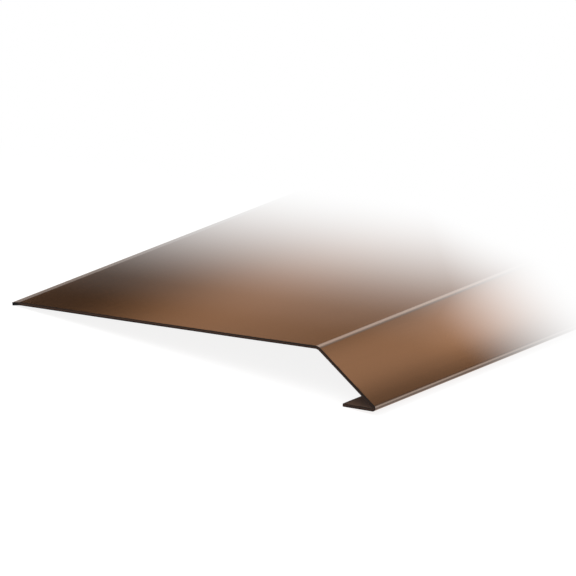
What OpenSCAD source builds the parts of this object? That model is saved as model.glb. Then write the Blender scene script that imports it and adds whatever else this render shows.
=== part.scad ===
// Drip edge flashing: one sheet bent along its length into a roof flange, a sloped
// drip face and a lip that is folded back under the face. It lies as it comes to rest
// on a level floor, on its back edge and on the free edge of the lip.

/* [Sheet] */
// Length of the stock, cut square at both ends
stock_length = 2000; // [300:10:4000]
// Thickness of the coated sheet
sheet_thickness = 1; // [0.4:0.1:1.2]

/* [Roof flange] */
// Width of the flange along its top, from the back edge to the corner over the face
flange_width = 110; // [60:1:200]
// Width of the narrow strip along the back edge that is set down towards the deck
edge_strip = 2.7; // [2:0.1:8]
// Angle at which that strip slopes down
edge_slope = 8; // [2:1:20]
// Inside radius of the slight bend between the strip and the flange
edge_radius = 1; // [0.5:0.1:3]

/* [Drip face] */
// Height from the top of the flange down to the underside of the fold
face_drop = 18.1; // [14:0.1:60]
// Angle at which the face falls away below the flange
face_slope = 39; // [35:0.1:80]
// Inside radius of the bend between the flange and the face
face_radius = 2.2; // [0.3:0.1:3]

/* [Drip lip] */
// Depth of the lip, from the nose of the fold back to its free edge
lip_depth = 11.7; // [6:0.1:16]
// Angle at which the lip rises from the fold towards its free edge
lip_rise = 1; // [0:0.5:15]
// Inside radius of the tight fold between the face and the lip
fold_radius = 0.1; // [0.1:0.1:1]

/* [Finish] */
// Colour of the coated sheet
sheet_colour = "#85603f";

/* [Hidden] */

// Sides of a full circle, from which the bends are cut
round_sides = 96;

// Outside radii of the three bends
edge_outside = edge_radius + sheet_thickness;
face_outside = face_radius + sheet_thickness;
fold_outside = fold_radius + sheet_thickness;

// Angle turned in the tight fold, from the slope of the face to the slope of the lip
fold_turn = 180 - face_slope + lip_rise;

// Distance from a sharp outside corner back to the start of its bend
function setback(turn, outside_radius) = outside_radius * tan(turn / 2);

edge_setback = setback(edge_slope, edge_outside);
face_setback = setback(face_slope, face_outside);

// Distance down the face from its sharp upper corner to the start of the fold
face_run = (face_drop - fold_outside * (1 + cos(face_slope))) / sin(face_slope);

// Lengths of the four flat legs between the bends
strip_leg = edge_strip - edge_setback;
flange_leg = flange_width - edge_strip - edge_setback - face_setback;
face_leg = face_run - face_setback;
lip_leg = (lip_depth - fold_outside * (1 + sin(lip_rise))) / cos(lip_rise);

// Each leg with the bend that follows it: leg length, angle turned downwards, inside radius
LEG = 0;
TURN = 1;
RADIUS = 2;
folds = [
    [strip_leg, edge_slope, edge_radius],
    [flange_leg, face_slope, face_radius],
    [face_leg, fold_turn, fold_radius],
    [lip_leg, 0, 0]
];

// The section is first set out with the flange level and the sharp outside corner of
// flange and face at zero, x across the sheet and y up
back_top = [
    -(flange_width - edge_strip) - edge_strip * cos(edge_slope),
    -edge_strip * sin(edge_slope)
];
back_underside = back_top + sheet_thickness * [sin(edge_slope), -cos(edge_slope)];
fold_centre = face_run * [cos(face_slope), -sin(face_slope)]
    - fold_outside * [sin(face_slope), cos(face_slope)];
lip_free_corner = fold_centre
    - fold_outside * [sin(lip_rise), cos(lip_rise)]
    + lip_leg * [-cos(lip_rise), sin(lip_rise)];

// Angle down from the back edge to the lip's free corner, and to the round of the fold
corner_span = lip_free_corner - back_underside;
corner_angle = atan2(-corner_span.y, corner_span.x);
fold_span = fold_centre - back_underside;
fold_angle = atan2(-fold_span.y, fold_span.x) + asin(fold_outside / norm(fold_span));

// At rest the back edge touches the floor together with the lower of those two
rest_tilt = max(corner_angle, fold_angle);

// A point of the level section, turned to the way the flashing lies
function at_rest(point) = [
    point.x * cos(rest_tilt) - point.y * sin(rest_tilt),
    point.x * sin(rest_tilt) + point.y * cos(rest_tilt)
];

rest_left = at_rest(back_top).x;
rest_right = at_rest(fold_centre).x + fold_outside;
rest_floor = at_rest(back_underside).y;

// Flat stretch of sheet, from the start of the leg along x, its outside face on top
module leg(length) {
    translate([0, -sheet_thickness])
        square([length, sheet_thickness]);
}

// Bent stretch of sheet, turning downwards from the x direction, cut from a ring
// between the line where the bend starts and the line where it ends
module bend(turn, inside_radius) {
    outside_radius = inside_radius + sheet_thickness;
    reach = 2 * outside_radius;
    translate([0, -outside_radius])
        intersection() {
            difference() {
                circle(r = outside_radius, $fn = round_sides);
                circle(r = inside_radius, $fn = round_sides);
            }
            translate([0, -reach])
                square([reach, 2 * reach]);
            rotate(-turn)
                translate([-reach, -reach])
                    square([reach, 2 * reach]);
        }
}

// Legs and bends one after another, each starting where the last one ends
module folded_strip(index = 0) {
    fold = folds[index];
    outside_radius = fold[RADIUS] + sheet_thickness;
    leg(fold[LEG]);
    if (fold[TURN] > 0)
        translate([fold[LEG], 0]) {
            bend(fold[TURN], fold[RADIUS]);
            translate([0, -outside_radius])
                rotate(-fold[TURN])
                    translate([0, outside_radius])
                        folded_strip(index + 1);
        }
}

// Cross-section as it lies, centred over the floor line
module section() {
    translate([-(rest_left + rest_right) / 2, -rest_floor])
        rotate(rest_tilt)
            translate(back_top)
                rotate(edge_slope)
                    folded_strip();
}

// The whole flashing, its length along y
module flashing() {
    color(sheet_colour)
        rotate([90, 0, 0])
            linear_extrude(height = stock_length, center = true)
                section();
}

flashing();
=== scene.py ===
import bpy
import math
from mathutils import Matrix, Vector


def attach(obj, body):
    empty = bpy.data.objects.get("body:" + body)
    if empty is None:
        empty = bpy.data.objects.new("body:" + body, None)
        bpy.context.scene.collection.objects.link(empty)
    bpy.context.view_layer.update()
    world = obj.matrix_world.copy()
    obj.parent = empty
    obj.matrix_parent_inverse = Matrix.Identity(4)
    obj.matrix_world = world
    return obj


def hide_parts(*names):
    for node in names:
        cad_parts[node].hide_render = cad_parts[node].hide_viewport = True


# Drip edge flashing in a copper brown coat, lying on a pale studio floor.
# The sheet is one outline swept along its length by Geometry Nodes.

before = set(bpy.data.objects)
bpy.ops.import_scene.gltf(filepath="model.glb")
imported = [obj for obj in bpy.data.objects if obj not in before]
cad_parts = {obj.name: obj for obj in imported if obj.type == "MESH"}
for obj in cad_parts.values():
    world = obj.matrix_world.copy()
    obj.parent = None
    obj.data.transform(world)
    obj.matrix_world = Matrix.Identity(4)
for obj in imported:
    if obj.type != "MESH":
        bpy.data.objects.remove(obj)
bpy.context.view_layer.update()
scene = bpy.context.scene
scene.view_settings.view_transform = "Standard"


# Small helpers for node trees

def addNode(tree, kind, label="", **settings):
    node = tree.nodes.new(kind)
    node.label = label
    for name, value in settings.items():
        setattr(node, name, value)
    return node


def feed(tree, socket, value):
    # a socket is linked, anything else is typed in
    if isinstance(value, bpy.types.NodeSocket):
        tree.links.new(value, socket)
    elif value is not None:
        socket.default_value = value


def calc(tree, operation, first, second=None, third=None, clamp=False):
    node = addNode(tree, "ShaderNodeMath", operation=operation, use_clamp=clamp)
    for socket, value in zip(node.inputs, (first, second, third)):
        feed(tree, socket, value)
    return node.outputs[0]


def remap(tree, value, low, high, newLow=0.0, newHigh=1.0, smooth=True):
    node = addNode(tree, "ShaderNodeMapRange")
    node.interpolation_type = "SMOOTHSTEP" if smooth else "LINEAR"
    for socket, given in zip(node.inputs, (value, low, high, newLow, newHigh)):
        feed(tree, socket, given)
    return node.outputs[0]


# The sheet's outline, the same sizes as the part's

sheetSizes = {
    "length": 2.0,
    "thickness": 0.001,
    "flangeWidth": 0.110,
    "edgeStrip": 0.0027,
    "edgeSlope": 8.0,
    "edgeRadius": 0.001,
    "faceDrop": 0.0181,
    "faceSlope": 39.0,
    "faceRadius": 0.0022,
    "lipDepth": 0.0117,
    "lipRise": 1.0,
    "foldRadius": 0.0001,
    "shearRound": 0.00008,   # tiny round on the cut edges
    "stripHighlight": 0.9,       # how strong the painted highlight on the narrow back strip is, where the bends are 1
}
outlineSteps = {
    "legs": (3, 22, 8, 5),             # rows along each flat leg
    "bends": (4, 12, 28),              # rows round each bend
    "besideBend": 0.0003,              # rows this close to a bend keep the flats flat
    "bendRise": 6,                     # how soon across a bend its painted highlight is full
    "fullTurn": 30.0,                  # degrees of bend that give the full painted highlight
    "shearAngles": (90, 60, 30, 0),    # corner points of a sheared edge
    "settling": 40,                    # rounds in which the outline comes down on the floor
}


def legLengths(s):
    # straight stretches between the bends, measured on the outer side
    edgeSetback = (s["edgeRadius"] + s["thickness"]) * math.tan(math.radians(s["edgeSlope"] / 2))
    faceSetback = (s["faceRadius"] + s["thickness"]) * math.tan(math.radians(s["faceSlope"] / 2))
    foldOutside = s["foldRadius"] + s["thickness"]
    slope, rise = math.radians(s["faceSlope"]), math.radians(s["lipRise"])
    faceRun = (s["faceDrop"] - foldOutside * (1 + math.cos(slope))) / math.sin(slope)
    strip = s["edgeStrip"] - edgeSetback
    flange = s["flangeWidth"] - s["edgeStrip"] - edgeSetback - faceSetback
    lip = (s["lipDepth"] - foldOutside * (1 + math.sin(rise))) / math.cos(rise)
    return [strip, flange, faceRun - faceSetback, lip]


def walkSheet(s):
    # from the back edge on: outer point, inner point, distance walked, and the weight of the painted
    # highlight, which follows the bends and covers the back strip
    legs = legLengths(s)
    turns = [s["edgeSlope"], s["faceSlope"], 180 - s["faceSlope"] + s["lipRise"]]
    radii = [s["edgeRadius"], s["faceRadius"], s["foldRadius"]]
    place = Vector((0, 0))
    heading = math.radians(s["edgeSlope"])
    travelled = 0.0
    pairs = []
    for i, leg in enumerate(legs):
        ahead = Vector((math.cos(heading), math.sin(heading)))
        right = Vector((ahead.y, -ahead.x))
        near = min(outlineSteps["besideBend"], leg / 4)
        rows = outlineSteps["legs"][i]
        spots = [0.0, near] + [near + (leg - 2 * near) * k / rows for k in range(1, rows)]
        spots += [leg - near, leg]
        # the painted highlight covers the whole back strip and none of the other flat legs
        bent = s["stripHighlight"] if i == 0 else 0.0
        for spot in spots:
            outer = place + ahead * spot
            pairs.append((outer, outer + right * s["thickness"], travelled + spot, bent))
        place = place + ahead * leg
        travelled += leg
        if i == len(turns):
            break
        reach = radii[i] + s["thickness"]
        centre = place + right * reach
        turn = math.radians(turns[i])
        rows = outlineSteps["bends"][i]
        for k in range(1, rows):
            part = turn * k / rows
            spoke = Vector((-right.x * math.cos(part) + ahead.x * math.sin(part),
                            -right.y * math.cos(part) + ahead.y * math.sin(part)))
            # round the bends the painted highlight rises and falls, and is weaker on gentle bends
            if i > 0:
                bent = min(1.0, outlineSteps["bendRise"] * k / rows * (1 - k / rows))
                bent *= min(1.0, turns[i] / outlineSteps["fullTurn"])
            pairs.append((centre + spoke * reach, centre + spoke * radii[i], travelled + reach * part, bent))
        heading -= turn
        place = centre + Vector((-math.sin(heading), math.cos(heading))) * reach
        travelled += reach * turn
    return pairs


def closedOutline(s):
    # outer side, rounded free edge of the lip, inner side back, rounded back edge
    pairs = walkSheet(s)
    small = s["shearRound"]

    def roundedEnd(outer, inner, away):
        # corner points of a sheared edge, from the outer side to the inner one
        across = (inner - outer).normalized()
        points = []
        for corner, turnIn in ((outer, across), (inner, -across)):
            centre = corner + turnIn * small - away * small
            angles = outlineSteps["shearAngles"]
            for angle in angles if corner is outer else reversed(angles):
                a = math.radians(angle)
                points.append(centre + away * small * math.cos(a) - turnIn * small * math.sin(a))
        return points

    firstOut, firstIn = pairs[0][0], pairs[0][1]
    lastOut, lastIn = pairs[-1][0], pairs[-1][1]
    backward = (pairs[0][0] - pairs[1][0]).normalized()
    forward = (pairs[-1][0] - pairs[-2][0]).normalized()
    outline = [(p[0], 0.0, p[2], p[3]) for p in pairs[1:-1]]
    outline += [(p, 0.5, pairs[-1][2], 0.0) for p in roundedEnd(lastOut, lastIn, forward)]
    outline += [(p[1], 1.0, p[2], p[3]) for p in reversed(pairs[1:-1])]
    outline += [(p, 0.5, 0.0, 0.0) for p in reversed(roundedEnd(firstOut, firstIn, backward))]
    return outline[::-1]   # anticlockwise, so that the faces point outwards


def atRest(outline):
    # turns the outline until its back edge and its lip both touch the floor
    def turnedBy(tilt):
        c, s = math.cos(tilt), math.sin(tilt)
        return [(row[0].x * c - row[0].y * s, row[0].x * s + row[0].y * c) for row in outline]

    def middleOf(turned):
        return (min(t[0] for t in turned) + max(t[0] for t in turned)) / 2

    tilt = 0.0
    for _ in range(outlineSteps["settling"]):
        turned = turnedBy(tilt)
        middle = middleOf(turned)
        backLow = min((t[1], t[0]) for t in turned if t[0] < middle)
        frontLow = min((t[1], t[0]) for t in turned if t[0] >= middle)
        tilt -= math.atan2(frontLow[0] - backLow[0], frontLow[1] - backLow[1])
    turned = turnedBy(tilt)
    shift = Vector((middleOf(turned), min(t[1] for t in turned)))
    return [(Vector(t) - shift, *row[1:]) for t, row in zip(turned, outline)], tilt, shift


outlineRows, restTilt, restShift = atRest(closedOutline(sheetSizes))
print("Outline has", len(outlineRows), "points, tilted", round(math.degrees(restTilt), 3), "degrees")


def outlineObject(rows):
    # the outline as a closed loop of edges that carries its own marks
    mesh = bpy.data.meshes.new("sheetOutline")
    count = len(rows)
    loop = [(i, (i + 1) % count) for i in range(count)]
    mesh.from_pydata([(row[0].x, row[0].y, 0) for row in rows], loop, [])
    # the last mark is the weight of the painted highlight along the bends and the back strip
    for column, name in enumerate(("side", "along", "bent"), 1):
        mark = mesh.attributes.new(name, "FLOAT", "POINT")
        for i, row in enumerate(rows):
            mark.data[i].value = row[column]
    insetMark = mesh.attributes.new("inset", "FLOAT_VECTOR", "POINT")
    for i in range(count):
        step = (rows[(i + 1) % count][0] - rows[i - 1][0]).normalized()
        insetMark.data[i].vector = (-step.y, 0, step.x)
    return bpy.data.objects.new("sheetOutline", mesh)


# Sweeping the outline along the stock

sweepChoices = {
    "stations": 170,
    "rippleHeight": 0.00014,   # faint waves of rolled sheet, pressed into the flange only
    "rippleLength": 0.12,
    "rippleStretch": 1.6,          # how much shorter the waves are across the sheet
    "rippleRise": (0.004, 0.035),  # from the back edge, where the waves begin and are full
    "rippleFall": (0.030, 0.003),  # before the bend, where they begin to fade and have ended
    "seed": 7.0,
    "crispAngle": 32.0,            # edges sharper than this many degrees stay crisp
    "endFacing": 0.3,              # faces that look along the stock this much are the cut ends
    "insideMark": 0.74,            # side marks: 0 outer side, 0.5 free edges, 1 inner side
    "freeEdgeReach": 0.24,
}


def sweepTree(topCoat, backCoat, cutEdge):
    tree = bpy.data.node_groups.new("sweptSheet", "GeometryNodeTree")
    sockets = tree.interface
    sockets.new_socket("Geometry", in_out="OUTPUT", socket_type="NodeSocketGeometry")
    sockets.new_socket("Outline", in_out="INPUT", socket_type="NodeSocketObject")
    for name, kind in (("Length", "Float"), ("Stations", "Int"), ("Shear Round", "Float"), ("Tilt", "Float"),
                       ("Ripple Height", "Float"), ("Ripple Length", "Float"), ("Flange Width", "Float"),
                       ("Seed", "Float")):
        sockets.new_socket(name, in_out="INPUT", socket_type="NodeSocket" + kind)
    given = addNode(tree, "NodeGroupInput").outputs
    result = addNode(tree, "NodeGroupOutput").inputs

    # stations along the length, with one extra just inside each cut end
    line = addNode(tree, "GeometryNodeMeshLine", "stations")
    feed(tree, line.inputs["Count"], given["Stations"])
    index = addNode(tree, "GeometryNodeInputIndex").outputs[0]
    last = calc(tree, "SUBTRACT", given["Stations"], 1)
    share = calc(tree, "DIVIDE", calc(tree, "SUBTRACT", index, 1),
                 calc(tree, "SUBTRACT", last, 2), clamp=True)
    inner = calc(tree, "SUBTRACT", given["Length"], calc(tree, "MULTIPLY", given["Shear Round"], 2))
    middle = calc(tree, "MULTIPLY", calc(tree, "SUBTRACT", share, 0.5), inner)
    isFirst = calc(tree, "LESS_THAN", index, 0.5)
    isLast = calc(tree, "GREATER_THAN", index, calc(tree, "SUBTRACT", last, 0.5))
    nudge = calc(tree, "MULTIPLY", calc(tree, "SUBTRACT", isLast, isFirst), given["Shear Round"])
    spot = addNode(tree, "ShaderNodeCombineXYZ")
    feed(tree, spot.inputs["Y"], calc(tree, "MULTIPLY", calc(tree, "ADD", middle, nudge), -1.0))
    setLine = addNode(tree, "GeometryNodeSetPosition", "station places")
    feed(tree, setLine.inputs["Geometry"], line.outputs[0])
    feed(tree, setLine.inputs["Position"], spot.outputs[0])
    markEnds = addNode(tree, "GeometryNodeStoreNamedAttribute", "mark cut ends",
                       data_type="FLOAT", domain="POINT")
    feed(tree, markEnds.inputs["Geometry"], setLine.outputs[0])
    feed(tree, markEnds.inputs["Name"], "atEnd")
    feed(tree, markEnds.inputs["Value"], calc(tree, "ADD", isFirst, isLast))
    path = addNode(tree, "GeometryNodeMeshToCurve")
    feed(tree, path.inputs["Mesh"], markEnds.outputs[0])

    # the outline, carried along the stations
    info = addNode(tree, "GeometryNodeObjectInfo", transform_space="ORIGINAL")
    feed(tree, info.inputs["Object"], given["Outline"])
    profile = addNode(tree, "GeometryNodeMeshToCurve")
    feed(tree, profile.inputs["Mesh"], info.outputs["Geometry"])
    upright = addNode(tree, "GeometryNodeTransform", "right way up")
    feed(tree, upright.inputs["Geometry"], profile.outputs[0])
    feed(tree, upright.inputs["Rotation"], (0, 0, math.pi))
    sweep = addNode(tree, "GeometryNodeCurveToMesh", "sweep")
    feed(tree, sweep.inputs["Curve"], path.outputs[0])
    feed(tree, sweep.inputs["Profile Curve"], upright.outputs[0])
    feed(tree, sweep.inputs["Fill Caps"], True)

    def mark(name, kind="FLOAT"):
        node = addNode(tree, "GeometryNodeInputNamedAttribute", name, data_type=kind)
        feed(tree, node.inputs["Name"], name)
        return node.outputs["Attribute"]

    # cut ends are drawn in a little, so that their edges aren't razor sharp
    inset = addNode(tree, "ShaderNodeVectorMath", "draw in", operation="SCALE")
    feed(tree, inset.inputs[0], mark("inset", "FLOAT_VECTOR"))
    feed(tree, inset.inputs["Scale"], calc(tree, "MULTIPLY", mark("atEnd"), given["Shear Round"]))
    drawIn = addNode(tree, "GeometryNodeSetPosition", "shear round")
    feed(tree, drawIn.inputs["Geometry"], sweep.outputs[0])
    feed(tree, drawIn.inputs["Offset"], inset.outputs[0])

    # faint waves, none near the edges or the bends
    place = addNode(tree, "GeometryNodeInputPosition").outputs[0]
    split = addNode(tree, "ShaderNodeSeparateXYZ")
    feed(tree, split.inputs[0], place)
    waveAt = addNode(tree, "ShaderNodeCombineXYZ")
    feed(tree, waveAt.inputs["X"], calc(tree, "MULTIPLY", mark("along"), sweepChoices["rippleStretch"]))
    feed(tree, waveAt.inputs["Y"], split.outputs["Y"])
    feed(tree, waveAt.inputs["Z"], given["Seed"])
    wave = addNode(tree, "ShaderNodeTexNoise", "waves", noise_dimensions="3D")
    feed(tree, wave.inputs["Vector"], waveAt.outputs[0])
    feed(tree, wave.inputs["Scale"], calc(tree, "DIVIDE", 1.0, given["Ripple Length"]))
    feed(tree, wave.inputs["Detail"], 1.0)
    rise = remap(tree, mark("along"), *sweepChoices["rippleRise"])
    fades, ended = [calc(tree, "SUBTRACT", given["Flange Width"], before)
                    for before in sweepChoices["rippleFall"]]
    fall = remap(tree, mark("along"), fades, ended, 1.0, 0.0)
    depth = calc(tree, "MULTIPLY", calc(tree, "MULTIPLY", rise, fall), wave.outputs[0])
    depth = calc(tree, "MULTIPLY", depth, given["Ripple Height"])
    press = addNode(tree, "ShaderNodeCombineXYZ")
    feed(tree, press.inputs["X"], calc(tree, "MULTIPLY", depth, calc(tree, "SINE", given["Tilt"])))
    downwards = calc(tree, "MULTIPLY", -1.0, calc(tree, "COSINE", given["Tilt"]))
    feed(tree, press.inputs["Z"], calc(tree, "MULTIPLY", depth, downwards))
    ripple = addNode(tree, "GeometryNodeSetPosition", "rolled waves")
    feed(tree, ripple.inputs["Geometry"], drawIn.outputs[0])
    feed(tree, ripple.inputs["Offset"], press.outputs[0])

    # smooth bends, crisp cut edges
    smooth = addNode(tree, "GeometryNodeSetShadeSmooth", "smooth faces", domain="FACE")
    feed(tree, smooth.inputs["Geometry"], ripple.outputs[0])
    angle = addNode(tree, "GeometryNodeInputMeshEdgeAngle").outputs[0]
    crisp = addNode(tree, "GeometryNodeSetShadeSmooth", "crisp edges", domain="EDGE")
    feed(tree, crisp.inputs["Geometry"], smooth.outputs[0])
    crispAngle = math.radians(sweepChoices["crispAngle"])
    feed(tree, crisp.inputs["Selection"], calc(tree, "GREATER_THAN", angle, crispAngle))
    feed(tree, crisp.inputs["Shade Smooth"], False)

    # top coat outside, darker coat inside, and on the sheared edges a dark steel colour that paints in their
    # shade
    facing = addNode(tree, "GeometryNodeInputNormal").outputs[0]
    facingSplit = addNode(tree, "ShaderNodeSeparateXYZ")
    feed(tree, facingSplit.inputs[0], facing)
    lengthwise = calc(tree, "ABSOLUTE", facingSplit.outputs["Y"])
    isCutEnd = calc(tree, "GREATER_THAN", lengthwise, sweepChoices["endFacing"])
    isInside = calc(tree, "GREATER_THAN", mark("side"), sweepChoices["insideMark"])
    isFreeEdge = calc(tree, "COMPARE", mark("side"), 0.5, sweepChoices["freeEdgeReach"])
    isCut = calc(tree, "MAXIMUM", isCutEnd, isFreeEdge)
    flow = crisp.outputs[0]
    for material, selection in ((topCoat, None), (backCoat, isInside), (cutEdge, isCut)):
        paint = addNode(tree, "GeometryNodeSetMaterial", material.name)
        feed(tree, paint.inputs["Geometry"], flow)
        feed(tree, paint.inputs["Selection"], selection)
        feed(tree, paint.inputs["Material"], material)
        flow = paint.outputs[0]
    realize = addNode(tree, "GeometryNodeRealizeInstances")
    feed(tree, realize.inputs[0], flow)
    feed(tree, result["Geometry"], realize.outputs[0])
    return tree


def sweptSheet(materials):
    carrier = bpy.data.objects.new("sheetCarrier", bpy.data.meshes.new("sheetCarrier"))
    outline = outlineObject(outlineRows)
    for helper in (carrier, outline):
        scene.collection.objects.link(helper)
    tree = sweepTree(*materials)
    sweeper = carrier.modifiers.new("sweep", "NODES")
    sweeper.node_group = tree
    values = {
        "Outline": outline,
        "Length": sheetSizes["length"],
        "Stations": sweepChoices["stations"],
        "Shear Round": sheetSizes["shearRound"],
        "Tilt": restTilt,
        "Ripple Height": sweepChoices["rippleHeight"],
        "Ripple Length": sweepChoices["rippleLength"],
        "Flange Width": sheetSizes["flangeWidth"],
        "Seed": sweepChoices["seed"],
    }
    for item in tree.interface.items_tree:
        if item.in_out == "INPUT":
            sweeper[item.identifier] = values[item.name]
    seen = bpy.context.evaluated_depsgraph_get()
    mesh = bpy.data.meshes.new_from_object(carrier.evaluated_get(seen),
                                           preserve_all_data_layers=True, depsgraph=seen)
    bpy.data.objects.remove(carrier)
    bpy.data.objects.remove(outline)
    mesh.name = "brownFlashing"
    piece = bpy.data.objects.new("brownFlashing", mesh)
    scene.collection.objects.link(piece)
    return piece


# Finishes

def colourMix(tree, factor, first, second):
    node = addNode(tree, "ShaderNodeMix", data_type="RGBA")
    feed(tree, node.inputs[0], factor)
    feed(tree, node.inputs[6], first)
    feed(tree, node.inputs[7], second)
    return node.outputs[2]


def newGroup(name, inputs, outputs):
    # empty shader node group, its sockets given as name and kind
    tree = bpy.data.node_groups.new(name, "ShaderNodeTree")
    for inOut, wanted in (("INPUT", inputs), ("OUTPUT", outputs)):
        for label, kind in wanted.items():
            tree.interface.new_socket(label, in_out=inOut, socket_type="NodeSocket" + kind)
    return tree, addNode(tree, "NodeGroupInput").outputs, addNode(tree, "NodeGroupOutput").inputs


def sumOfShares(tree, values, shares):
    total = calc(tree, "MULTIPLY", values[0], shares[0])
    for value, share in zip(values[1:], shares[1:]):
        total = calc(tree, "ADD", total, calc(tree, "MULTIPLY", value, share))
    return total


def stretchedNoise(tree, vector, scale, stretch, detail=3.0, rough=0.5):
    # noise drawn out along the length of the sheet, more so the smaller the stretch
    mapping = addNode(tree, "ShaderNodeMapping")
    feed(tree, mapping.inputs["Vector"], vector)
    feed(tree, mapping.inputs["Scale"], (1.0, stretch, 1.0))
    noise = addNode(tree, "ShaderNodeTexNoise")
    feed(tree, noise.inputs["Vector"], mapping.outputs[0])
    feed(tree, noise.inputs["Scale"], scale)
    feed(tree, noise.inputs["Detail"], detail)
    feed(tree, noise.inputs["Roughness"], rough)
    return noise.outputs["Fac"]


coatPattern = {
    # noises as scale, stretch, detail and roughness
    "cloud": (16.0, 0.6),
    "streak": (900.0, 0.012, 2.0),
    "grain": (1500.0, 1.0, 2.0),
    "peel": (420.0, 0.7, 1.0),
    "toneShares": (0.55, 0.3, 0.15),     # cloud, streak and grain in the colour
    "toneContrast": 3.0,
    "heightShares": (0.6, 0.25, 0.15),   # peel, streak and grain in the height
    "roughnessDrift": 0.1,
}
# darker towards the free edges and cut ends, broken up by noise
edgeDarkPattern = {
    "broken": (260.0, 0.25, 4.0, 0.6),
    "darkFrom": (0.42, 0.7),           # noise values where the darkening begins and is full
    "width": 0.0012,                     # how far in from a free edge the colour darkens
}
# noise for the painted highlight over the bends and the back strip
highlightPattern = {
    "fineBreakup": (1400.0, 0.15, 2.0, 0.6),
    "cloud": (90.0, 0.3, 2.0),
    "even": 0.55,                        # share that is the same all over the bend
    "patchy": 0.45,
}


def coatGroup():
    # roller coated paint: soft colour drift, fine streaks along the coil, orange peel
    tree, given, result = newGroup("coilCoat", {
        "Vector": "Vector", "Light": "Color", "Dark": "Color", "Drift": "Float",
        "Roughness": "Float", "Roughness Drift": "Float",
    }, {"Color": "Color", "Roughness": "Float", "Height": "Float"})
    cloud, streak, grain, peel = [stretchedNoise(tree, given["Vector"], *coatPattern[name])
                                  for name in ("cloud", "streak", "grain", "peel")]
    blendBy = sumOfShares(tree, (cloud, streak, grain), coatPattern["toneShares"])
    spread = calc(tree, "MULTIPLY", given["Drift"], coatPattern["toneContrast"])
    blendBy = calc(tree, "MULTIPLY", calc(tree, "SUBTRACT", blendBy, 0.5), spread)
    blendBy = calc(tree, "ADD", 0.5, blendBy, clamp=True)
    feed(tree, result["Color"], colourMix(tree, blendBy, given["Dark"], given["Light"]))
    wander = calc(tree, "SUBTRACT", sumOfShares(tree, (cloud, streak), (0.5, 0.5)), 0.5)
    wander = calc(tree, "MULTIPLY", wander, given["Roughness Drift"])
    feed(tree, result["Roughness"], calc(tree, "ADD", given["Roughness"], wander, clamp=True))
    feed(tree, result["Height"], sumOfShares(tree, (peel, streak, grain), coatPattern["heightShares"]))
    return tree


def edgeDarkGroup():
    # darker colour along the free edges and cut ends, broken up by noise
    tree, given, result = newGroup("darkerEdges", {
        "Vector": "Vector", "Nearness": "Float", "Amount": "Float",
    }, {"Mask": "Float"})
    broken = stretchedNoise(tree, given["Vector"], *edgeDarkPattern["broken"])
    darkened = calc(tree, "MULTIPLY", given["Nearness"], remap(tree, broken, *edgeDarkPattern["darkFrom"]))
    feed(tree, result["Mask"], calc(tree, "MULTIPLY", darkened, given["Amount"], clamp=True))
    return tree


def highlightGroup():
    # a painted highlight over the bends and the back strip, made as paler paint broken up by fine noise, with
    # extra clear gloss over the bends
    tree, given, result = newGroup("paintedHighlight", {
        "Vector": "Vector", "Bent": "Float", "Amount": "Float", "Plain Coat": "Float", "Bend Gloss": "Float",
    }, {"Mask": "Float", "Coat Weight": "Float"})
    fineBreakup = stretchedNoise(tree, given["Vector"], *highlightPattern["fineBreakup"])
    cloud = stretchedNoise(tree, given["Vector"], *highlightPattern["cloud"])
    patchy = calc(tree, "MULTIPLY", calc(tree, "ADD", fineBreakup, cloud), highlightPattern["patchy"])
    patchy = calc(tree, "ADD", highlightPattern["even"], patchy)
    highlighted = calc(tree, "MULTIPLY", given["Bent"], patchy)
    feed(tree, result["Mask"], calc(tree, "MULTIPLY", highlighted, given["Amount"], clamp=True))
    gloss = calc(tree, "MULTIPLY", given["Bent"], given["Bend Gloss"])
    feed(tree, result["Coat Weight"], calc(tree, "ADD", given["Plain Coat"], gloss, clamp=True))
    return tree


coilCoat = coatGroup()
darkerEdges = edgeDarkGroup()
paintedHighlight = highlightGroup()


def placeGroup(tree, group, label, **values):
    node = addNode(tree, "ShaderNodeGroup", label, node_tree=group)
    for name, value in values.items():
        feed(tree, node.inputs[name.replace("_", " ")], value)
    return node


def edgeNearness(tree, width):
    # 1 at the free edges of the sheet, falling to 0 over the given width
    along = markOnSheet(tree, "along")
    fromBack = remap(tree, along, 0.0, width, 1.0, 0.0)
    lipEnd = max(row[2] for row in outlineRows)
    fromLip = remap(tree, along, lipEnd - width, lipEnd, 0.0, 1.0)
    split = addNode(tree, "ShaderNodeSeparateXYZ")
    feed(tree, split.inputs[0], addNode(tree, "ShaderNodeTexCoord").outputs["Object"])
    half = sheetSizes["length"] / 2
    fromEnd = remap(tree, calc(tree, "ABSOLUTE", split.outputs["Y"]), half - width, half, 0.0, 1.0)
    return calc(tree, "MAXIMUM", calc(tree, "MAXIMUM", fromBack, fromLip), fromEnd)


topFinish = {
    "light": (0.330, 0.168, 0.092, 1),
    "dark": (0.265, 0.138, 0.074, 1),
    "drift": 0.45,
    "roughness": 0.20,
    "metallic": 0.85,
    "edgeTint": (0.60, 0.41, 0.30, 1),   # keeps low reflections brown
    # painted highlight: paler, greyer paint along the bends and the back strip
    "bendHighlight": 0.80,
    "highlightTone": (0.295, 0.240, 0.207, 1),
    "coatWeight": 0.04,
    "bendGloss": 0.45,                   # extra clear gloss over the bends
    "coatRoughness": 0.12,
    "peelHeight": 0.000006,
    "edgeDarkening": 0.55,
    "edgeDarkTone": (0.060, 0.042, 0.030, 1),    # colour towards the free edges and cut ends
}
backFinish = {
    "light": (0.150, 0.086, 0.057, 1),
    "dark": (0.105, 0.061, 0.041, 1),
    "drift": 0.8,
    "roughness": 0.55,
    "peelHeight": 0.00001,
    # much darker towards the free edges and cut ends
    "edgeDarkening": 0.95,
    "edgeDarkTone": (0.012, 0.009, 0.008, 1),
}
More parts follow.
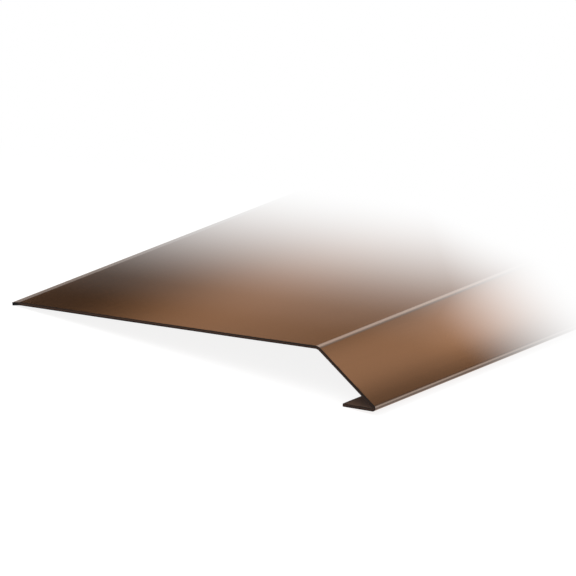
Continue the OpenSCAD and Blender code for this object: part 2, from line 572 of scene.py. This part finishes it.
cutFinish = {
    "light": (0.060, 0.030, 0.018, 1),   # steel core, painted dark brown for the shade on the cut edges
    "dark": (0.040, 0.020, 0.013, 1),
    "rimShade": (0.016, 0.010, 0.008, 1),    # darker rims on both sides of the core: painted shade, made as paint drawn over the cut
    "rimShadeDepth": (0.18, 0.36),           # share of the thickness from its middle, where the skin shows
    "corner": (0.004, 0.004, 0.005, 1),  # near-black towards the back corner of the cut end
    "cornerReach": (0.0010, 0.0035),
    "drift": 1.3,
    "roughness": 0.55,
    "shine": 0.12,
    "peelHeight": 0.00002,
}


def startMaterial(name):
    material = bpy.data.materials.new(name)
    material.use_nodes = True
    tree = material.node_tree
    shader = tree.nodes["Principled BSDF"]
    vector = addNode(tree, "ShaderNodeTexCoord").outputs["Object"]
    return material, tree, shader, vector


def markOnSheet(tree, name):
    return addNode(tree, "ShaderNodeAttribute", name, attribute_name=name).outputs["Fac"]


def finishSheet(name, finish):
    material, tree, shader, vector = startMaterial(name)
    coat = placeGroup(tree, coilCoat, "coil coat", Vector=vector, Light=finish["light"],
                      Dark=finish["dark"], Drift=finish["drift"], Roughness=finish["roughness"],
                      Roughness_Drift=coatPattern["roughnessDrift"])
    colour = coat.outputs["Color"]
    # darker towards the free edges and cut ends
    if "edgeDarkening" in finish:
        darkEdge = placeGroup(tree, darkerEdges, "darker edges", Vector=vector,
                         Nearness=edgeNearness(tree, edgeDarkPattern["width"]), Amount=finish["edgeDarkening"])
        colour = colourMix(tree, darkEdge.outputs["Mask"], colour, finish["edgeDarkTone"])
    # painted highlight along the bends and the back strip, mixed into the coat
    if "bendHighlight" in finish:
        pale = placeGroup(tree, paintedHighlight, "painted highlight", Vector=vector,
                          Bent=markOnSheet(tree, "bent"), Amount=finish["bendHighlight"],
                          Plain_Coat=finish["coatWeight"], Bend_Gloss=finish["bendGloss"])
        colour = colourMix(tree, pale.outputs["Mask"], colour, finish["highlightTone"])
        feed(tree, shader.inputs["Coat Weight"], pale.outputs["Coat Weight"])
        shader.inputs["Coat Roughness"].default_value = finish["coatRoughness"]
    # painted shade on the cut edges: darker rims near both faces, and near-black towards the back corner
    if "rimShade" in finish:
        fromMiddle = calc(tree, "ABSOLUTE", calc(tree, "SUBTRACT", markOnSheet(tree, "side"), 0.5))
        colour = colourMix(tree, remap(tree, fromMiddle, *finish["rimShadeDepth"]), colour, finish["rimShade"])
        nearBack = remap(tree, markOnSheet(tree, "along"), *finish["cornerReach"], 1.0, 0.0)
        colour = colourMix(tree, nearBack, colour, finish["corner"])
    feed(tree, shader.inputs["Base Color"], colour)
    feed(tree, shader.inputs["Roughness"], coat.outputs["Roughness"])
    shader.inputs["Metallic"].default_value = finish.get("metallic", 0.0)
    if "edgeTint" in finish:
        shader.inputs["Specular Tint"].default_value = finish["edgeTint"]
    if "shine" in finish:
        shader.inputs["Specular IOR Level"].default_value = finish["shine"]
    bump = addNode(tree, "ShaderNodeBump")
    feed(tree, bump.inputs["Distance"], finish["peelHeight"])
    feed(tree, bump.inputs["Height"], coat.outputs["Height"])
    feed(tree, shader.inputs["Normal"], bump.outputs[0])
    return material


topCoat = finishSheet("copperBrownCoat", topFinish)
backCoat = finishSheet("backCoat", backFinish)
cutEdge = finishSheet("shearedEdge", cutFinish)
print("Finishes made")

flashing = sweptSheet((topCoat, backCoat, cutEdge))
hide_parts("flashing")
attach(flashing, "root")
print("Sheet swept with", len(flashing.data.polygons), "faces")


# Floor, world and lamps

studio = {
    "floorHalf": 14.0,
    "floorGlow": 0.86,
    "floorTone": 0.26,
    "bounceTone": 0.8,
    "skyFill": 0.62,
    "keyPower": 70.0,
    "keySize": 3.0,
    "keyPlace": (-1.6, -2.6, 3.2),
    "keyTarget": (0, -0.6, 0),
}


def flatPanel(name, corners, faces=((0, 1, 2, 3),)):
    mesh = bpy.data.meshes.new(name)
    mesh.from_pydata(corners, [], faces)
    panel = bpy.data.objects.new(name, mesh)
    scene.collection.objects.link(panel)
    return panel


def bareMaterial(name):
    material = bpy.data.materials.new(name)
    material.use_nodes = True
    tree = material.node_tree
    tree.nodes.clear()
    return material, tree, addNode(tree, "ShaderNodeOutputMaterial").inputs["Surface"]


def mixShader(tree, factor, first, second):
    node = addNode(tree, "ShaderNodeMixShader")
    feed(tree, node.inputs[0], factor)
    feed(tree, node.inputs[1], first)
    feed(tree, node.inputs[2], second)
    return node.outputs[0]


def glow(tree, colour, strength):
    node = addNode(tree, "ShaderNodeEmission")
    feed(tree, node.inputs["Color"], colour)
    feed(tree, node.inputs["Strength"], strength)
    return node.outputs[0]


def seenDirectly(tree):
    # 1 for rays from the camera or from a reflection
    path = addNode(tree, "ShaderNodeLightPath").outputs
    return calc(tree, "MAXIMUM", path["Is Camera Ray"],
                calc(tree, "MAXIMUM", path["Is Glossy Ray"], path["Is Transmission Ray"]))


def makeFloor():
    half = studio["floorHalf"]
    floor = flatPanel("studioFloor", [(-half, -half, 0), (half, -half, 0),
                                      (half, half, 0), (-half, half, 0)])
    material, tree, surface = bareMaterial("paleFloor")
    shown = addNode(tree, "ShaderNodeAddShader")
    paint = addNode(tree, "ShaderNodeBsdfDiffuse")
    paint.inputs["Color"].default_value = (studio["floorTone"],) * 3 + (1,)
    feed(tree, shown.inputs[0], paint.outputs[0])
    feed(tree, shown.inputs[1], glow(tree, (1, 1, 1, 1), studio["floorGlow"]))
    bounce = addNode(tree, "ShaderNodeBsdfDiffuse")
    bounce.inputs["Color"].default_value = (studio["bounceTone"],) * 3 + (1,)
    fromAbove = mixShader(tree, seenDirectly(tree), bounce.outputs[0], shown.outputs[0])
    below = addNode(tree, "ShaderNodeNewGeometry").outputs["Backfacing"]
    clear = addNode(tree, "ShaderNodeBsdfTransparent").outputs[0]
    feed(tree, surface, mixShader(tree, below, fromAbove, clear))
    floor.data.materials.append(material)


def makeWorld():
    world = bpy.data.worlds.new("softWhite")
    world.use_nodes = True
    tree = world.node_tree
    tree.nodes.clear()
    strength = remap(tree, seenDirectly(tree), 0, 1, studio["skyFill"], 1.0, smooth=False)
    sky = addNode(tree, "ShaderNodeBackground")
    feed(tree, sky.inputs["Strength"], strength)
    feed(tree, sky.inputs["Color"], (1, 1, 1, 1))
    feed(tree, addNode(tree, "ShaderNodeOutputWorld").inputs["Surface"], sky.outputs[0])
    scene.world = world


def makeLamp(name, place, target, power, size):
    lamp = bpy.data.lights.new(name, "AREA")
    lamp.energy = power
    lamp.size = size
    holder = bpy.data.objects.new(name, lamp)
    holder.location = place
    holder.rotation_euler = (Vector(target) - Vector(place)).to_track_quat("-Z", "Y").to_euler()
    holder.visible_glossy = False
    holder.visible_camera = False
    scene.collection.objects.link(holder)


reflectors = {
    # seen only in reflections: a standing card behind the back edge, a lying one over the drip
    # face and a strip on the floor; tones are pairs of place and brightness, found by trial
    "backX": -0.080,
    "backTop": 0.40,
    "backTones": [(0.0, 0.45), (0.0040, 0.45), (0.0060, 0.04), (0.0185, 0.04), (0.0235, 0.14),
                  (0.0290, 0.72), (0.0340, 0.93), (0.0415, 1.06), (0.0475, 0.40), (0.0560, 0.25),
                  (0.120, 1.1), (0.40, 1.1)],
    "backFarTones": [(0.0, 0.45), (0.0040, 0.45), (0.0060, 0.72), (0.022, 0.80), (0.0260, 1.10),
                     (0.0300, 1.30), (0.0350, 1.22), (0.0400, 0.95), (0.0480, 0.80), (0.0580, 1.35),
                     (0.40, 1.2)],
    "backChange": (-0.940, -0.80),   # along the stock, from the first tones to the far ones
    "slantFrom": 0.022,              # above this height the change comes further along
    "backSlant": 4.2,                # by this much for each metre up
    "overZ": 0.050,
    "overLeft": -0.003,
    "overRight": 0.600,
    "overTones": [(-0.003, 1.3), (0.029, 1.3), (0.034, 0.45), (0.0470, 0.45), (0.0500, 0.95),
                  (0.062, 0.95), (0.067, 0.31), (0.072, 0.15), (0.090, 0.15), (0.110, 0.60),
                  (0.600, 0.60)],
    "overRise": 0.92,              # how much brighter the lying card gets along the stock
    "overChange": (-0.905, -0.84),
    "overFull": (0.030, 0.047),    # across the sheet, where that rise goes from least to full
    "overLeast": 0.3,              # share of the rise that is left short of there
    "footTone": 0.45,              # grey of the strip on the floor beside the fold
    "footZ": 0.0002,
    "footLeft": 0.0660,
    "footRight": 0.110,
    "plainAgain": (-0.64, -0.42),  # further along, all three are as white as the room
    "reach": 1.6,
}


def toneRamp(tree, value, tones):
    # a colour ramp over a real distance
    first, last = tones[0][0], tones[-1][0]
    ramp = addNode(tree, "ShaderNodeValToRGB")
    feed(tree, ramp.inputs[0], remap(tree, value, first, last, smooth=False))
    stops = ramp.color_ramp.elements
    for i, (spot, tone) in enumerate(tones):
        share = (spot - first) / (last - first)
        stop = stops[i] if i < 2 else stops.new(share)
        stop.position = share
        stop.color = (tone, tone, tone, 1)
    return ramp.outputs[0]


def onlyInReflections(panel):
    panel.visible_camera = False
    panel.visible_diffuse = False
    panel.visible_shadow = False
    panel.visible_transmission = False
    panel.visible_volume_scatter = False


def backTone(tree, place):
    # dark low down at the near end, plain and pale beyond it
    tones, farTones = [toneRamp(tree, place["Z"], reflectors[name]) for name in ("backTones", "backFarTones")]
    raised = calc(tree, "MAXIMUM", calc(tree, "SUBTRACT", place["Z"], reflectors["slantFrom"]), 0.0)
    slant = calc(tree, "MULTIPLY", raised, reflectors["backSlant"])
    change = remap(tree, calc(tree, "SUBTRACT", place["Y"], slant), *reflectors["backChange"])
    return colourMix(tree, change, tones, farTones)


def overTone(tree, place):
    # brighter along the stock, above all over the face
    rise = remap(tree, place["Y"], *reflectors["overChange"], 0.0, reflectors["overRise"])
    overFace = remap(tree, place["X"], *reflectors["overFull"], reflectors["overLeast"], 1.0)
    rise = calc(tree, "MULTIPLY", rise, overFace)
    tone = toneRamp(tree, place["X"], reflectors["overTones"])
    return calc(tree, "MULTIPLY", tone, calc(tree, "ADD", rise, 1.0))


def makeReflectors():
    reach = reflectors["reach"]
    x, top = reflectors["backX"], reflectors["backTop"]
    back = flatPanel("backCard", [(x, -reach, 0), (x, reach, 0), (x, reach, top), (x, -reach, top)])
    z, left, right = reflectors["overZ"], reflectors["overLeft"], reflectors["overRight"]
    over = flatPanel("overCard", [(left, -reach, z), (left, reach, z), (right, reach, z), (right, -reach, z)])
    z, left, right = reflectors["footZ"], reflectors["footLeft"], reflectors["footRight"]
    foot = flatPanel("footCard", [(left, -reach, z), (right, -reach, z), (right, reach, z), (left, reach, z)])
    for panel, toneOf in ((back, backTone), (over, overTone), (foot, None)):
        material, tree, surface = bareMaterial(panel.name)
        split = addNode(tree, "ShaderNodeSeparateXYZ")
        feed(tree, split.inputs[0], addNode(tree, "ShaderNodeTexCoord").outputs["Object"])
        plain = remap(tree, split.outputs["Y"], *reflectors["plainAgain"])
        tone = toneOf(tree, split.outputs) if toneOf else reflectors["footTone"]
        tone = calc(tree, "MULTIPLY", tone, calc(tree, "SUBTRACT", 1.0, plain))
        feed(tree, surface, glow(tree, (1, 1, 1, 1), calc(tree, "ADD", plain, tone)))
        panel.data.materials.append(material)
        onlyInReflections(panel)


makeFloor()
makeWorld()
makeReflectors()
makeLamp("keySoftbox", studio["keyPlace"], studio["keyTarget"], studio["keyPower"], studio["keySize"])
print("Studio made")


# Camera at the photo's view

photoView = {
    "imageWidth": 576,
    "azimuth": 31.26,       # in the frame where the flange is level, then turned with the sheet
    "elevation": 13.88,
    "halfAngle": 0.61,      # a long lens, because the photo shows no perspective
    "pixelSize": 0.0003051,
    "cornerRight": 30.24,   # near corner between flange and face, in pixels from the image centre
    "cornerDown": 58.1,
    "sensorWidth": 36.0,
    "clipFrom": 0.05,
    "clipTo": 100.0,
}


def turnedWithSheet(v):
    c, s = math.cos(restTilt), math.sin(restTilt)
    return Vector((v.x * c - v.z * s, v.y, v.x * s + v.z * c))


def sharpCorner(y):
    # where the top of the flange and the face would meet without the bend
    s, slope = sheetSizes, math.radians(sheetSizes["edgeSlope"])
    level = Vector((s["edgeStrip"] * math.cos(slope) + s["flangeWidth"] - s["edgeStrip"], y,
                    s["edgeStrip"] * math.sin(slope)))
    return turnedWithSheet(level) - Vector((restShift.x, 0, restShift.y))


def makeCamera():
    a, e = math.radians(photoView["azimuth"]), math.radians(photoView["elevation"])
    backLevel = Vector((math.sin(a) * math.cos(e), -math.cos(a) * math.cos(e), math.sin(e)))
    upLevel = (Vector((0, 0, 1)) - backLevel * backLevel.z).normalized()
    back, up = turnedWithSheet(backLevel), turnedWithSheet(upLevel)
    right = up.cross(back)
    corner = sharpCorner(-sheetSizes["length"] / 2)
    pixel = photoView["pixelSize"]
    half = math.radians(photoView["halfAngle"])
    distance = photoView["imageWidth"] / 2 * pixel / math.tan(half)
    aside, above = photoView["cornerRight"] * pixel, photoView["cornerDown"] * pixel
    place = corner - right * aside + up * above + back * distance
    lens = bpy.data.cameras.new("photoCamera")
    lens.sensor_width = photoView["sensorWidth"]
    lens.lens = photoView["sensorWidth"] / 2 / math.tan(half)
    lens.clip_start = photoView["clipFrom"]
    lens.clip_end = photoView["clipTo"]
    camera = bpy.data.objects.new("photoCamera", lens)
    turn = Matrix((right, up, back)).transposed().to_4x4()
    camera.matrix_world = Matrix.Translation(place) @ turn
    scene.collection.objects.link(camera)
    scene.camera = camera
    return place, right, up, back


cameraPlace, cameraRight, cameraUp, cameraBack = makeCamera()
print("Camera set")

fadeVeil = {
    "fromCamera": 0.30,
    "margin": 1.1,                    # wider than the picture by this factor
    "cells": 16,
    "overFlange": (-0.960, -0.825),   # places along the stock where the white begins and is full
    "overFace": (-0.943, -0.866),
    "haze": 0.05,                     # thin white that comes in before the fade itself
    "overHaze": (-0.990, -0.940),
    "nearBend": 0.42,                 # how far the fade over the face also reaches up the flange
}


def makeVeil():
    # small graduated white filter close to the lens, for the photo's fade along the stock;
    # its map holds the place along the stock seen through it, on the flange and on the drip face
    half = fadeVeil["fromCamera"] * math.tan(math.radians(photoView["halfAngle"])) * fadeVeil["margin"]
    centre = cameraPlace - cameraBack * fadeVeil["fromCamera"]
    cells = fadeVeil["cells"]
    steps = [2 * i / cells - 1 for i in range(cells + 1)]
    corners = [centre + cameraRight * half * i + cameraUp * half * j for j in steps for i in steps]
    row = cells + 1
    firsts = [i + j * row for j in range(cells) for i in range(cells)]
    faces = [(a, a + 1, a + 1 + row, a + row) for a in firsts]
    veil = flatPanel("fadeFilter", corners, faces)
    bend = sharpCorner(0)
    slope = math.radians(sheetSizes["faceSlope"])
    flangeUp, faceOut = Vector((0, 0, 1)), Vector((math.sin(slope), 0, math.cos(slope)))
    normals = [turnedWithSheet(flangeUp), turnedWithSheet(faceOut)]
    seen = veil.data.uv_layers.new(name="alongStock")
    for loop in veil.data.loops:
        look = corners[loop.vertex_index] - cameraPlace
        spots = [cameraPlace + look * ((bend - cameraPlace).dot(n) / look.dot(n)) for n in normals]
        seen.data[loop.index].uv = [spot.y for spot in spots]
    material, tree, surface = bareMaterial("fadeFilter")
    split = addNode(tree, "ShaderNodeSeparateXYZ")
    feed(tree, split.inputs[0], addNode(tree, "ShaderNodeUVMap", uv_map="alongStock").outputs[0])
    behind = calc(tree, "MAXIMUM", calc(tree, "SUBTRACT", split.outputs["X"], split.outputs["Y"]), 0.0)
    nearFace = calc(tree, "ADD", split.outputs["Y"], calc(tree, "MULTIPLY", behind, fadeVeil["nearBend"]))
    thickness = calc(tree, "MAXIMUM", remap(tree, split.outputs["X"], *fadeVeil["overFlange"]),
                     remap(tree, nearFace, *fadeVeil["overFace"]))
    haze = remap(tree, split.outputs["X"], *fadeVeil["overHaze"], 0.0, fadeVeil["haze"])
    haze = calc(tree, "MULTIPLY", haze, calc(tree, "SUBTRACT", 1.0, thickness))
    thickness = calc(tree, "ADD", thickness, haze)
    clear = addNode(tree, "ShaderNodeBsdfTransparent").outputs[0]
    feed(tree, surface, mixShader(tree, thickness, clear, glow(tree, (1, 1, 1, 1), 1.0)))
    veil.data.materials.append(material)
    onlyInReflections(veil)
    veil.visible_glossy = False
    veil.visible_camera = True


makeVeil()

bpy.context.view_layer.update()
